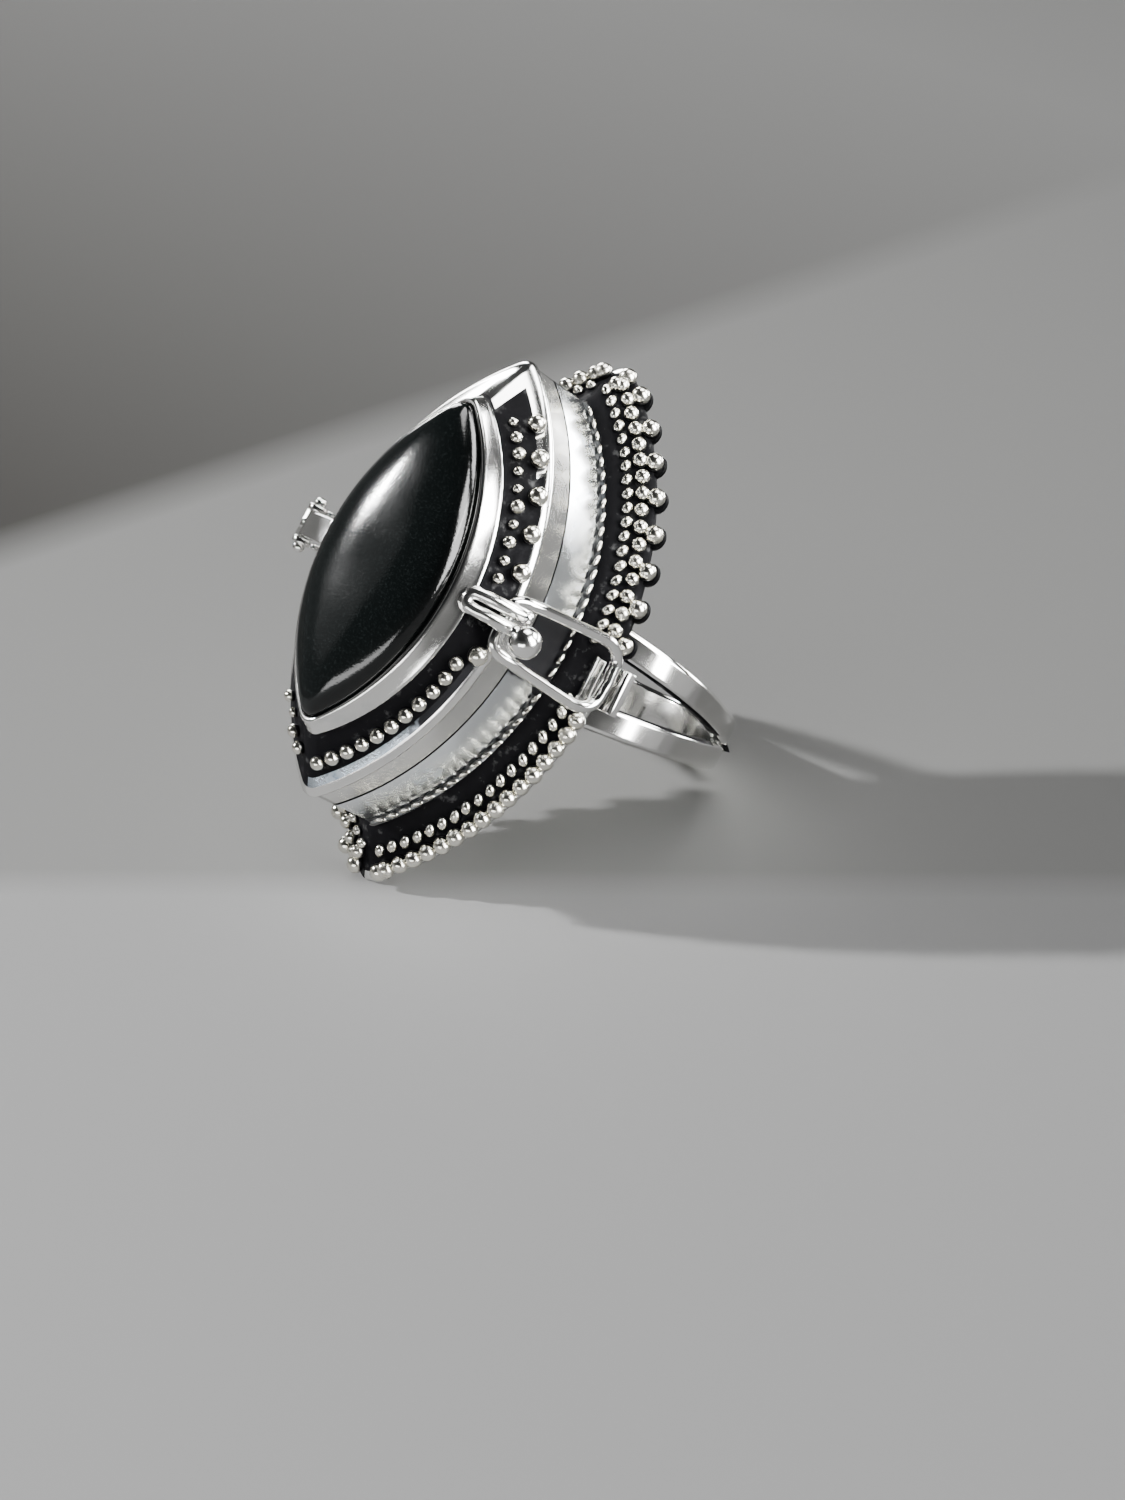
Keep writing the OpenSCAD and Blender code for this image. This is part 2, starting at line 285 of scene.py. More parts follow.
# %% Group: black of the hollows
# Each granule and rope strand carries a number, soot, that is 1 where it meets the plate
# and 0 on top, and the box wall and the lid carry one too. A little noise makes the edge
# of the black uneven.
soot_group, box_in, box_out = new_group("black of the hollows", [("Reach", 0.5)], ["Mask"])
where = add_node(soot_group, "ShaderNodeTexCoord")
soot_number = add_node(soot_group, "ShaderNodeAttribute", attribute_name="soot")
crumbs = add_node(soot_group, "ShaderNodeTexNoise", Scale=2400.0, Detail=1.0)
soot_group.links.new(where.outputs["Object"], crumbs.inputs["Vector"])
raggedness = 0.45
uneven = math_node(soot_group, "SUBTRACT", crumbs.outputs["Fac"], 0.5)
uneven = math_node(soot_group, "MULTIPLY", uneven, raggedness)
level = math_node(soot_group, "ADD", soot_number.outputs["Fac"], uneven)
level = math_node(soot_group, "ADD", level, box_in.outputs["Reach"])
soot_group.links.new(ramp(soot_group, level, 0.85, 1.15), box_out.inputs["Mask"])


# %% Silver finishes
def put_group(tree, group, **values):
    """A group node in a material, with its own values."""
    made = tree.nodes.new("ShaderNodeGroup")
    made.node_tree = group
    for key, value in values.items():
        made.inputs[key].default_value = value
    return made


soot_colour = (0.022, 0.022, 0.024)
tarnish_haze, wear_haze, soot_haze = 0.38, 0.08, 0.5


def silver_finish(name, tarnish, tarnish_scale=260.0, soot=None, haze=0.11,
                  scratch_depth=0.06, dull=(0.3, 0.34, 0.4), bright=(0.86, 0.855, 0.835)):
    """Silver from bright to dull with its tarnish. haze is the roughness of clean metal.

    Where soot is given, the hollows are black. A larger soot lets the black reach further.
    """
    made, tree, skin = new_finish(name, {"Metallic": 1.0})
    clouds = put_group(tree, tarnish_group, Scale=tarnish_scale, Amount=tarnish)
    lines = put_group(tree, scratch_group, Scale=900.0)
    colour = mix_colour(tree, clouds.outputs["Mask"], bright, dull)
    tarnished = math_node(tree, "MULTIPLY", clouds.outputs["Mask"], tarnish_haze)
    rubbed = math_node(tree, "MULTIPLY", lines.outputs["Wear"], wear_haze)
    rough = math_node(tree, "ADD", haze, tarnished)
    rough = math_node(tree, "ADD", rough, rubbed)
    if soot is not None:
        black = put_group(tree, soot_group, Reach=soot)
        colour = mix_colour(tree, black.outputs["Mask"], colour, soot_colour)
        sooty = math_node(tree, "MULTIPLY", black.outputs["Mask"], soot_haze)
        rough = math_node(tree, "MAXIMUM", rough, sooty)
    tree.links.new(colour, skin.inputs["Base Color"])
    tree.links.new(rough, skin.inputs["Roughness"])
    bump = add_node(tree, "ShaderNodeBump", Strength=scratch_depth, Distance=0.00002)
    tree.links.new(lines.outputs["Height"], bump.inputs["Height"])
    tree.links.new(bump.outputs["Normal"], skin.inputs["Normal"])
    return made


polished = silver_finish("polished silver", 0.35)
wall_silver = silver_finish("silver wall", 0.7, 480.0, soot=0.12, haze=0.14,
                            dull=(0.36, 0.45, 0.56), bright=(0.83, 0.86, 0.88))
frosted_slope = silver_finish("frosted rim", 1.0, 900.0, haze=0.2, soot=0.3, scratch_depth=0.3,
                              dull=(0.2, 0.26, 0.33), bright=(0.5, 0.56, 0.62))
warm_dull, warm_bright = (0.4, 0.38, 0.31), (0.8, 0.78, 0.7)
bead_silver = silver_finish("granule silver", 0.6, 700.0, soot=0.5, haze=0.15,
                            dull=warm_dull, bright=warm_bright)
rope_silver = silver_finish("rope silver", 0.6, 700.0, soot=0.55, haze=0.14,
                            dull=warm_dull, bright=warm_bright)
shank_silver = silver_finish("shank silver", 0.15, 200.0, haze=0.06, scratch_depth=0.02)

# %% Blackened ground
# It is dull and nearly all black, with worn spots that are greyer and smoother.
# The shank's gap also takes it, as painted shade.
deep_black, worn_grey = (0.006, 0.006, 0.007), (0.1, 0.1, 0.1)
blackened_and_painted_shade, tree, skin = new_finish("blackened silver and painted shade", {"Metallic": 0.3, "Specular IOR Level": 0.05})
where = add_node(tree, "ShaderNodeTexCoord")
worn = add_node(tree, "ShaderNodeTexNoise", Scale=1300.0, Detail=5.0, Roughness=0.65)
tree.links.new(where.outputs["Object"], worn.inputs["Vector"])
spots = ramp(tree, worn.outputs["Fac"], 0.58, 0.8)
tree.links.new(mix_colour(tree, spots, deep_black, worn_grey), skin.inputs["Base Color"])
tree.links.new(ramp(tree, worn.outputs["Fac"], 1.2, 0.1), skin.inputs["Roughness"])
pits = add_node(tree, "ShaderNodeBump", Strength=0.3, Distance=0.00004)
tree.links.new(worn.outputs["Fac"], pits.inputs["Height"])
tree.links.new(pits.outputs["Normal"], skin.inputs["Normal"])

# %% Black onyx
# The polish is clear with a thin veil of haze, and dust dots the black.
onyx_black, dust_grey = (0.003, 0.004, 0.004), (0.012, 0.015, 0.015)
clear_haze, veil_haze = 0.09, 0.06
onyx, tree, skin = new_finish("black onyx", {"IOR": 1.45})
where = add_node(tree, "ShaderNodeTexCoord")
dust = add_node(tree, "ShaderNodeTexNoise", Scale=7000.0, Detail=3.0)
veil = add_node(tree, "ShaderNodeTexNoise", Scale=240.0, Detail=3.0)
for noise in (dust, veil):
    tree.links.new(where.outputs["Object"], noise.inputs["Vector"])
dots = ramp(tree, dust.outputs["Fac"], 0.55, 0.8)
tree.links.new(mix_colour(tree, dots, onyx_black, dust_grey), skin.inputs["Base Color"])
satin = math_node(tree, "MULTIPLY", ramp(tree, veil.outputs["Fac"], 0.35, 0.7), veil_haze)
satin = math_node(tree, "ADD", clear_haze, satin)
tree.links.new(satin, skin.inputs["Roughness"])
orange_peel = add_node(tree, "ShaderNodeBump", Strength=0.3, Distance=0.00002)
tree.links.new(dust.outputs["Fac"], orange_peel.inputs["Height"])
tree.links.new(orange_peel.outputs["Normal"], skin.inputs["Normal"])

# %% [markdown]
# ## The base border and the box
#
# The base is a plate that slopes down and out from the foot of the box, like the brim of
# a hat. Its ground is blackened. The box wall stands on it, plain and bright. Both are
# raised from marquise loops, so that one fits into the other.

# %% Sizes of the base and the box
# The plate's slope runs from the box's foot to its edge: half length, half width, height.
box_foot = (13.95, 7.05, 11.7)
plate_edge = (16.9, 9.1, 9.76)
plate_under = 9.4
floor_height = 10.4
box_rim = 15.6
# Half length, half width and tip of the wall's two faces.
wall_outside = (13.75, 7.0, 0.6)
wall_inside = (12.95, 6.2, 0.5)
mid_wall = 6.4

# %% Border plate
# Each section ends with its finish: its place in the piece's list of materials. OUTER only
# marks the outer part of the lid's slope, whose finish is chosen later.
SILVER, BLACK, FROST, OUTER = range(4)
border = raise_walls([
    (12.0, 5.6, 0.5, plate_under, SILVER),
    (16.75, 8.95, 0.8, plate_under, SILVER),
    (16.9, 9.06, 0.8, plate_under + 0.1, SILVER),
    (16.9, 9.06, 0.8, 9.72, SILVER),
    (16.8, 8.98, 0.8, 9.87, SILVER),
    (16.45, 8.75, 0.8, 10.08, SILVER),
    (16.3, 8.65, 0.8, 10.14, BLACK),
    (14.6, 7.5, 0.7, 11.28, BLACK),
    (*box_foot[:2], 0.7, 11.68, BLACK),
    (13.2, mid_wall, 0.5, 11.68, SILVER),
    (13.2, mid_wall, 0.5, floor_height - 0.1, SILVER)], floor=True, roof=True)
# Beside the double rows the plate is black out to its rim.
for face in border.faces:
    middle = face.calc_center_median()
    if middle.z > plate_under + 0.05 and middle.x * middle.y < 0:
        face.material_index = BLACK
piece = hand_over("border_plate", border, "ring", [polished, blackened_and_painted_shade])
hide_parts("ring_body")

# %% Box wall
wall = raise_walls([
    (13.1, 6.3, 0.5, floor_height - 0.08, SILVER),
    (13.85, 7.06, 0.6, 11.3, SILVER),
    (*wall_outside, 12.3, SILVER),
    (*wall_outside, 12.9, SILVER),
    (*wall_outside, box_rim - 0.12, SILVER),
    (13.62, 6.86, 0.6, box_rim - 0.02, BLACK),
    (13.0, 6.25, 0.5, box_rim - 0.02, BLACK),
    (*wall_inside, box_rim - 0.08, SILVER),
    (*wall_inside, floor_height, SILVER)], floor=True, roof=True)
# The wall is darkened a little way above its foot, and from its foot to its rim behind the loop.
foot_band_from, foot_band_to, foot_band_black = 11.0, 12.4, 0.95
behind_loop_from, behind_loop_to, behind_loop_black = -2.7, 2.0, 1.3
soot = wall.verts.layers.float.new("soot")
for v in wall.verts:
    on_clasp_side = v.co.y < -mid_wall and v.co.z < box_rim
    if on_clasp_side and behind_loop_from < v.co.x < behind_loop_to:
        v[soot] = behind_loop_black
    elif foot_band_from < v.co.z < foot_band_to:
        v[soot] = foot_band_black
hand_over("box_wall", wall, "ring", [wall_silver, blackened_and_painted_shade])

# %% [markdown]
# ## Granules and ropes
#
# The borders are rows of little silver balls and strands of twisted wire, soldered down.
# Each row follows an outline part of the way down a slope. A function gives the place,
# the way the slope faces and the way the row runs, and a ball or a strand is put there.
# The two long edges are not alike: a double row on one half, a single row on the other,
# and the same again half a turn round.

# %% Places along a slope
base_slope = (box_foot, plate_edge)
lid_slope = ((10.7, 5.9, 20.2), (13.92, 7.3, 17.95))


def on_slope(slope, down, along, side):
    """A frame on a slope: down from 0 at the top edge to 1, along in mm from the middle."""
    inner, outer = slope
    a, b, z = (p + down * (q - p) for p, q in zip(inner, outer))
    r = (a * a + b * b) / (2 * b)
    g = along / r
    run, drop = outer[1] - inner[1], inner[2] - outer[2]
    length = math.hypot(run, drop)
    place = Vector((r * math.sin(g), side * (r * math.cos(g) - r + b), z))
    out = Vector((math.sin(g), side * math.cos(g), 0))
    face = (out * drop + Vector((0, 0, run))) / length
    row = Vector((math.cos(g), -side * math.sin(g), 0))
    turned = Matrix((row, face.cross(row), face)).transposed().to_4x4()
    return Matrix.Translation(place) @ turned


def stamp(bm, soot, where, size, sink, twist):
    """One ball or strand at a frame: size along the row, across it and up.

    sink is the share of its half height that is below the slope. The top fifth of what
    shows is free of soot.
    """
    shape = (Matrix.Translation((0, 0, size[2] * (1 - sink)))
             @ Matrix.Rotation(twist, 4, "Z") @ Matrix.Diagonal((*size, 1)))
    made = bmesh.ops.create_uvsphere(bm, u_segments=14, v_segments=9, radius=1.0,
                                     matrix=where @ shape)
    back = where.inverted()
    soot_top = 0.8
    for v in made["verts"]:
        height = (back @ v.co).z / (2 * size[2] * (1 - sink / 2))
        v[soot] = max(0.0, 1.0 - height / soot_top)


def ball(radius):
    """The size of a round granule."""
    return (radius, radius, radius)


slip, sway = 0.012, 0.1


def border_row(name, body, slope, down, spots, size, finish, sink=0.22, twist=0.0, wobble=0.04):
    """A row of balls or strands: spots lists (mm along the edge, side).

    No two are quite alike: the size wobbles, and each slips down and sways a little.
    """
    bm = bmesh.new()
    soot = bm.verts.layers.float.new("soot")
    pick = random.Random(name)
    for along, side in spots:
        grow = 1 + pick.uniform(-wobble, wobble)
        where = on_slope(slope, down + pick.uniform(-slip, slip), along, side)
        where = where @ Matrix.Rotation(pick.uniform(-sway, sway), 4, "Z")
        stamp(bm, soot, where, [s * grow for s in size], sink, twist * side)
    return hand_over(name, bm, body, [finish])


def half_turn_row(first, pitch, count, sign=1):
    """Spots on the clasp side and, half a turn round, on the hinge side.

    The first is first mm from the middle, and pitch is the way from each to the next.
    """
    near = [(sign * (first + pitch * i), -1) for i in range(count)]
    return near + [(-along, 1) for along, _ in near]


def full_row(first, pitch, count):
    """Spots both ways from the middle, on both sides."""
    return half_turn_row(first, pitch, count) + half_turn_row(first, pitch, count, -1)


# %% Rows of the base
granules = border_row("base_small_granules", "ring", base_slope, 0.72,
                      half_turn_row(2.45, 1.04, 16), ball(0.45), bead_silver)
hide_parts("base_beads")
large_spots = half_turn_row(1.9, 2.24, 8)
border_row("base_large_granules", "ring", base_slope, 1.0,
           large_spots, (0.56, 0.56, 0.55), bead_silver)
border_row("base_single_granules", "ring", base_slope, 0.88,
           half_turn_row(3.1, 0.99, 16, -1), ball(0.54), bead_silver)
oval = (0.43, 0.31, 0.3)
border_row("oval_rope_double_side", "ring", base_slope, 0.43,
           half_turn_row(1.6, 0.88, 19), oval, rope_silver, twist=0.75)
border_row("oval_rope_single_side", "ring", base_slope, 0.53,
           half_turn_row(2.2, 0.88, 18, -1), oval, rope_silver, twist=-0.85)
border_row("tip_granules", "ring", base_slope, 0.9,
           [(18.9, -1), (-18.9, 1), (18.5, 1), (-18.5, -1)], (0.55, 0.55, 0.5), bead_silver)
border_row("tip_fillers", "ring", base_slope, 0.62,
           [(18.0, -1), (-18.0, 1)], ball(0.45), bead_silver)

# %% Scalloped lobes under the large granules
lobe_down, lobe_out, lobe_lift = 0.97, 0.12, 0.02
lobe_foot, lobe_top, lobe_thick = 0.72, 0.66, 0.34
lobes = bmesh.new()
for along, side in large_spots:
    where = on_slope(base_slope, lobe_down, along, side)
    spot = where.translation + Vector((0, side * lobe_out, 0))
    spot.z = plate_under + lobe_lift + lobe_thick / 2
    bmesh.ops.create_cone(lobes, cap_ends=True, segments=20, radius1=lobe_foot,
                          radius2=lobe_top, depth=lobe_thick, matrix=Matrix.Translation(spot))
# Only their undersides are bright.
for face in lobes.faces:
    face.material_index = BLACK if face.normal.z > -0.5 else SILVER
hand_over("scalloped_lobes", lobes, "ring", [polished, blackened_and_painted_shade])

# %% Flat rope at the foot of the box
foot_slope = ((13.9, 7.1, 12.4), (14.1, 7.25, 11.9))
border_row("flat_rope", "ring", foot_slope, 0.5,
           full_row(0.44, 0.87, 18), (0.38, 0.15, 0.12), rope_silver, sink=0.3, twist=0.3)

# %% [markdown]
# ## The lid
#
# The lid is a second, shorter box turned upside down. Its loops start at the ceiling of
# the hollow, come down to the thin seam and climb the outside. The plate slopes up from a
# bright rim to the bezel, the strip of silver that is pushed over the edge of the stone.

# %% A number between two others
def between(low, high, t):
    """low where t is 0 or less, high where it is 1 or more."""
    return low + (high - low) * min(1.0, max(0.0, t))


# %% Lid wall and sloped plate
lid_low = 15.72
lid_inside = (12.95, 6.35, 0.6)
lid_outside = (13.75, 7.15, 0.8)
lid = raise_walls([
    (10.0, 5.1, 0.6, 19.5, SILVER),
    (*lid_inside, 17.4, SILVER),
    (*lid_inside, lid_low + 0.04, SILVER),
    (13.62, 7.02, 0.8, lid_low, BLACK),
    (*lid_outside, lid_low + 0.11, BLACK),
    (*lid_outside, 17.6, SILVER),
    (13.9, 7.28, 0.9, 17.68, SILVER),
    (13.92, 7.3, 0.9, 17.8, SILVER),
    (13.88, 7.27, 0.9, 17.98, SILVER),
    (13.6, 7.12, 0.9, 18.24, SILVER),
    (13.48, 7.07, 0.9, 18.27, SILVER),
    (12.95, 6.84, 0.9, 18.63, OUTER),
    (10.85, 5.96, 0.9, 20.08, BLACK),
    (10.3, 5.6, 0.8, 20.2, BLACK),
    (9.6, 4.8, 0.8, 20.2, SILVER)], floor=True, roof=True)
# The hinge side and the upper tip are bright, and the outer part of the slope is frosted
# near the lower tip, where it fades into the black of the rest.
frost_tip, frost_fade, frost_end = -12.5, 6.0, -3.0
bright_from, outer_bright_from, inner_bright_from = -8.0, 8.0, 11.2
above_the_wall = 18.0
soot = lid.verts.layers.float.new("soot")
for v in lid.verts:
    v[soot] = between(0, 1, (v.co.x - frost_tip) / frost_fade)
for face in lid.faces:
    middle = face.calc_center_median()
    bright_side = middle.y > 0.15 and middle.x > bright_from
    if face.material_index == OUTER:
        if bright_side or middle.x > outer_bright_from:
            face.material_index = SILVER
        elif middle.x < frost_end and middle.y < 0:
            face.material_index = FROST
        else:
            face.material_index = BLACK
    elif face.material_index == BLACK and middle.z > above_the_wall:
        if bright_side or middle.x > inner_bright_from:
            face.material_index = SILVER
piece = hand_over("lid_plate", lid, "lid", [polished, blackened_and_painted_shade, frosted_slope])
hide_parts("lid")

# %% Bezel
bezel = raise_walls([
    (10.72, 5.93, 0.9, 20.02, SILVER),
    (10.66, 5.88, 0.9, 20.2, SILVER),
    (10.58, 5.78, 0.9, 20.3, SILVER),
    (10.5, 5.64, 0.9, 20.4, SILVER),
    (10.3, 5.2, 0.85, 20.94, SILVER),
    (10.24, 5.1, 0.85, 21.06, SILVER),
    (10.14, 5.0, 0.8, 21.12, SILVER),
    (9.96, 4.8, 0.8, 21.12, SILVER),
    (9.88, 4.7, 0.8, 21.04, SILVER),
    (9.86, 4.68, 0.8, 20.5, SILVER)], close=True)
hand_over("bezel", bezel, "lid", [polished])

# %% Rows of the lid
# The hinge side of the slope is bare, but for a few granules at the lower tip.
def lid_row(first, pitch, count, sign=1, repeated=0):
    """Spots on the clasp side, with the last few repeated half a turn round."""
    near = [(sign * (first + pitch * i), -1) for i in range(count)]
    return near + [(-along, 1) for along, _ in near[count - repeated:]]


large = border_row("lid_large_granules", "lid", lid_slope, 0.71,
                   lid_row(2.55, 2.2, 5) + [(-2.55, -1)], (0.58, 0.58, 0.56), bead_silver)
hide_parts("lid_beads")
border_row("lid_small_granules", "lid", lid_slope, 0.3,
           lid_row(1.7, 1.04, 10, repeated=2), ball(0.35), bead_silver, wobble=0.2)
border_row("lid_tip_granules", "lid", lid_slope, 0.42,
           [(-13.3, 1), (-12.2, 1)], ball(0.42), bead_silver)
border_row("lid_single_granules", "lid", lid_slope, 0.45,
           lid_row(3.5, 1.02, 11, sign=-1), ball(0.44), bead_silver)

# %% [markdown]
# ## The stone
#
# A cabochon is ground as a smooth dome. Loops that shrink towards the top make it. They
# also get rounder as they go, because no ridge runs down a polished stone.

# %% Onyx dome
# A fullness of 2 would make a true ellipse, and more makes shoulders. The tip is rounded
# by a share of the half width, from tip_share at the girdle to tip_share + tip_gain.
stone_half_length, stone_half_width, stone_tip = 9.84, 4.66, 0.75
stone_foot, girdle, crown = 20.35, 20.95, 22.85
fullness = 2.6
tip_share, tip_gain = 0.16, 0.6
dome_steps = 26
last_angle = 89.5
sections = [(stone_half_length, stone_half_width, stone_tip, stone_foot, SILVER)]
for i in range(dome_steps + 1):
    g = math.radians(last_angle * i / dome_steps)
    shrink = math.cos(g) ** (2 / fullness)
    rise = math.sin(g) ** (2 / fullness)
    half_width = stone_half_width * shrink
    tip = half_width * (tip_share + tip_gain * rise ** 3)
    height = girdle + (crown - girdle) * rise
    sections.append((stone_half_length * shrink, half_width, tip, height, SILVER))
dome = raise_walls(sections, floor=True, roof=True)
stone = hand_over("onyx_cabochon", dome, "lid", [onyx])
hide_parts("stone")

# %% [markdown]
# ## The shank
#
# The band is one strip that splits in two on each shoulder. Two flat grids become the
# two arms: each point of a grid is wrapped round the finger hole, and the arms meet where
# the split ends. The sheet then gets its thickness and round edges.

# %% Split shank
bore_radius = 8.65
band_thick = 1.45
bottom_half, top_half = 1.6, 3.5
flare_height, split_height, top_height = -5.0, -4.5, 8.0
gap_half_top = 1.7
flat_height = -9.65
# The band gets thinner towards the shoulders, from one height to another.
thinning, thinning_from, thinning_to = 0.45, -8.0, -2.0
edge_round = 0.42


def band_edge(z):
    """Half width of the whole band at a height."""
    return between(bottom_half, top_half, (z - flare_height) / (top_height - flare_height))


def gap_edge(z):
    """Half width of the gap between the arms."""
    return between(0.0, gap_half_top, (z - split_height) / (top_height - split_height))


shank = bmesh.new()
for side in (1, -1):
    arm = bmesh.ops.create_grid(shank, x_segments=5, y_segments=180, size=0.5)["verts"]
    for v in arm:
        turn = (v.co.y + 0.5) * 2 * math.pi
        y, z = bore_radius * math.sin(turn), -bore_radius * math.cos(turn)
        x = gap_edge(z) + (band_edge(z) - gap_edge(z)) * (v.co.x + 0.5)
        v.co = (side * x, y, z)
bmesh.ops.remove_doubles(shank, verts=shank.verts, dist=0.02)
bmesh.ops.recalc_face_normals(shank, faces=shank.faces)
outwards = sum(f.normal.dot(Vector((0, f.calc_center_median().y, f.calc_center_median().z)))
               for f in shank.faces)
if outwards < 0:
    bmesh.ops.reverse_faces(shank, faces=shank.faces)
bmesh.ops.solidify(shank, geom=shank.faces[:], thickness=-band_thick)
for v in shank.verts:
    out = math.hypot(v.co.y, v.co.z)
    if out > bore_radius + band_thick / 3:
        t = (v.co.z - thinning_from) / (thinning_to - thinning_from)
        wanted = bore_radius + band_thick - between(0, thinning, t)
        v.co.y, v.co.z = (k * wanted / out for k in (v.co.y, v.co.z))
    v.co.z = max(v.co.z, flat_height)
bmesh.ops.recalc_face_normals(shank, faces=shank.faces)
soften(shank, edge_round, segments=5, angle=50)
# The sides that face each other across the gap get the black finish as painted shade, where the
# gap is wide enough.
painted_shade_from = split_height + 1.6
for face in shank.faces:
    middle = face.calc_center_median()
    faces_the_gap = face.normal.x * middle.x < -0.6 * abs(middle.x)
    if faces_the_gap and middle.z > painted_shade_from:
        face.material_index = BLACK
hand_over("split_shank", shank, "ring", [shank_silver, blackened_and_painted_shade])

# %% [markdown]
# ## Wire work
#
# The clasp is bent from round wire: two short wires run from the bezel to the push ball
# and make an eye, and the loop hangs in that eye. A curve with a round bevel makes such a
# wire, and it becomes a mesh at once.


# %% Drawing wire
def wire(bm, points, radius, closed=False):
    """Add round wire through points to a shape, with rounded ends."""
    line = bpy.data.curves.new("wire", "CURVE")
    line.dimensions = "3D"
    line.bevel_depth = radius
    line.bevel_resolution = 5
    line.use_fill_caps = not closed
    spline = line.splines.new("POLY")
    spline.points.add(len(points) - 1)
    for point, place in zip(spline.points, points):
        point.co = (*place, 1)
    spline.use_cyclic_u = closed
    holder = bpy.data.objects.new("wire", line)
    bpy.context.scene.collection.objects.link(holder)
    drawn = holder.evaluated_get(bpy.context.evaluated_depsgraph_get())
    bm.from_mesh(drawn.to_mesh())
    bmesh.ops.remove_doubles(bm, verts=bm.verts, dist=0.001)
    bpy.data.objects.remove(holder)
    bpy.data.curves.remove(line)
    if not closed:
        for place in (points[0], points[-1]):
            bmesh.ops.create_uvsphere(bm, u_segments=16, v_segments=10, radius=radius,
                                      matrix=Matrix.Translation(place))
    bmesh.ops.recalc_face_normals(bm, faces=bm.faces)


# %% Eye wires and push ball
# The two wires are one, bent like a hairpin. A drop of solder sits beside the ball.
eye_wire = 0.41
push_ball_radius, push_ball_place = 0.95, (-0.8, -9.45, 18.7)
solder_radius, solder_place = 0.36, (-0.55, -9.0, 19.35)
eye = bmesh.new()
hairpin = [(0.47, -8.9, 18.85), (0.47, -6.5, 20.2), (0.43, -6.1, 20.42), (0.25, -5.92, 20.52),
           (0, -5.87, 20.55)]
hairpin += [(-x, y, z) for x, y, z in reversed(hairpin[:-1])]
wire(eye, hairpin, eye_wire)
bmesh.ops.create_uvsphere(eye, u_segments=40, v_segments=24, radius=push_ball_radius,
                          matrix=Matrix.Translation(push_ball_place))
bmesh.ops.create_uvsphere(eye, u_segments=20, v_segments=12, radius=solder_radius,
                          matrix=Matrix.Translation(solder_place))
hand_over("push_ball", eye, "lid", [polished])

# %% Wire loop
# Half of the loop is drawn flat, (x, way down), and hung in the eye with a bend. Cutting
# every corner twice makes the path round.
loop_middle = -0.38
loop_top = Vector((0, -7.35, 18.75))
loop_bend = Vector((0, -8.1, 17.5))
loop_low = Vector((0, -9.72, 10.42))
loop_wire = 0.36
half_path = [(0, 0), (0.6, 0), (1.0, 0.03), (1.3, 0.15), (1.5, 0.4), (1.62, 0.8), (1.68, 1.3),
             (1.75, 2.0), (1.85, 3.4), (1.96, 5.1), (2.06, 6.8), (2.06, 7.3), (1.98, 7.75),
             (1.75, 8.2), (1.4, 8.52), (0.95, 8.64), (0.5, 8.64)]
knee = (loop_bend - loop_top).length
full = knee + (loop_low - loop_bend).length


def down_the_loop(x, way):
    """A point of the loop: x from its middle, way in mm down from the eye."""
    if way < knee:
        spot = loop_top.lerp(loop_bend, way / knee)
    else:
        spot = loop_bend.lerp(loop_low, (way - knee) / (full - knee))
    return Vector((loop_middle + x, spot.y, spot.z))


path = [down_the_loop(*p) for p in half_path]
path += [down_the_loop(0, full)] + [down_the_loop(-x, way) for x, way in reversed(half_path[1:])]
for _ in range(2):
    path = [p.lerp(path[(i + 1) % len(path)], t)
            for i, p in enumerate(path) for t in (0.25, 0.75)]
loop = bmesh.new()
wire(loop, path, loop_wire, closed=True)
piece = hand_over("clasp_wire_loop", loop, "loop", [shank_silver])
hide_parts("clasp_loop")

# %% [markdown]
# ## Bent strip
#
# The catch, the hinge straps and the hinge tab are strips of sheet silver, bent and
# soldered. A line of edges drawn from the side is pulled sideways to the strip's width,
# thickened and softened.


# %% Bending strip
def bend_strip(bm, side_view, x0, x1, thick):
    """A strip through (y, z) points of its side view, from x0 to x1."""
    part = bmesh.new()
    line = [part.verts.new((x0, y, z)) for y, z in side_view]
    edges = [part.edges.new(pair) for pair in zip(line, line[1:])]
    pulled = bmesh.ops.extrude_edge_only(part, edges=edges)["geom"]
    bmesh.ops.translate(part, vec=(x1 - x0, 0, 0),
                        verts=[g for g in pulled if isinstance(g, bmesh.types.BMVert)])
    bmesh.ops.recalc_face_normals(part, faces=part.faces)
    bmesh.ops.solidify(part, geom=part.faces[:], thickness=thick)
    bmesh.ops.recalc_face_normals(part, faces=part.faces)
    edge_width = min(0.09, thick * 0.3)
    soften(part, edge_width, angle=50)
    mesh = bpy.data.meshes.new("strip")
    part.to_mesh(mesh)
    part.free()
    bm.from_mesh(mesh)
    bpy.data.meshes.remove(mesh)


def knuckle(bm, radius, x0, x1):
    """A hinge knuckle along X, centred on the hinge."""
    turn = Matrix.Rotation(math.radians(90), 4, "Y")
    place = Matrix.Translation(((x0 + x1) / 2, hinge_y, hinge_z))
    bmesh.ops.create_cone(bm, cap_ends=True, segments=28, radius1=radius, radius2=radius,
                          depth=x1 - x0, matrix=place @ turn)


# %% Catch
# A lip stands inside the loop, and a broad strip turns down outside it.
catch_middle = -0.65
catch_half, catch_thick = 1.35, 0.22
lip_half, lip_thick = 1.25, 0.2
catch = bmesh.new()
bend_strip(catch, [(-8.62, 10.86), (-8.68, 10.2), (-8.8, 9.9), (-9.0, 9.75), (-10.0, 9.75),
                   (-10.2, 9.65), (-10.28, 9.5), (-10.4, 9.1)],
           catch_middle - catch_half, catch_middle + catch_half, catch_thick)
bend_strip(catch, [(-8.5, 10.9), (-8.5, 10.2)],
           catch_middle - lip_half, catch_middle + lip_half, lip_thick)
hand_over("catch_strip", catch, "ring", [shank_silver])

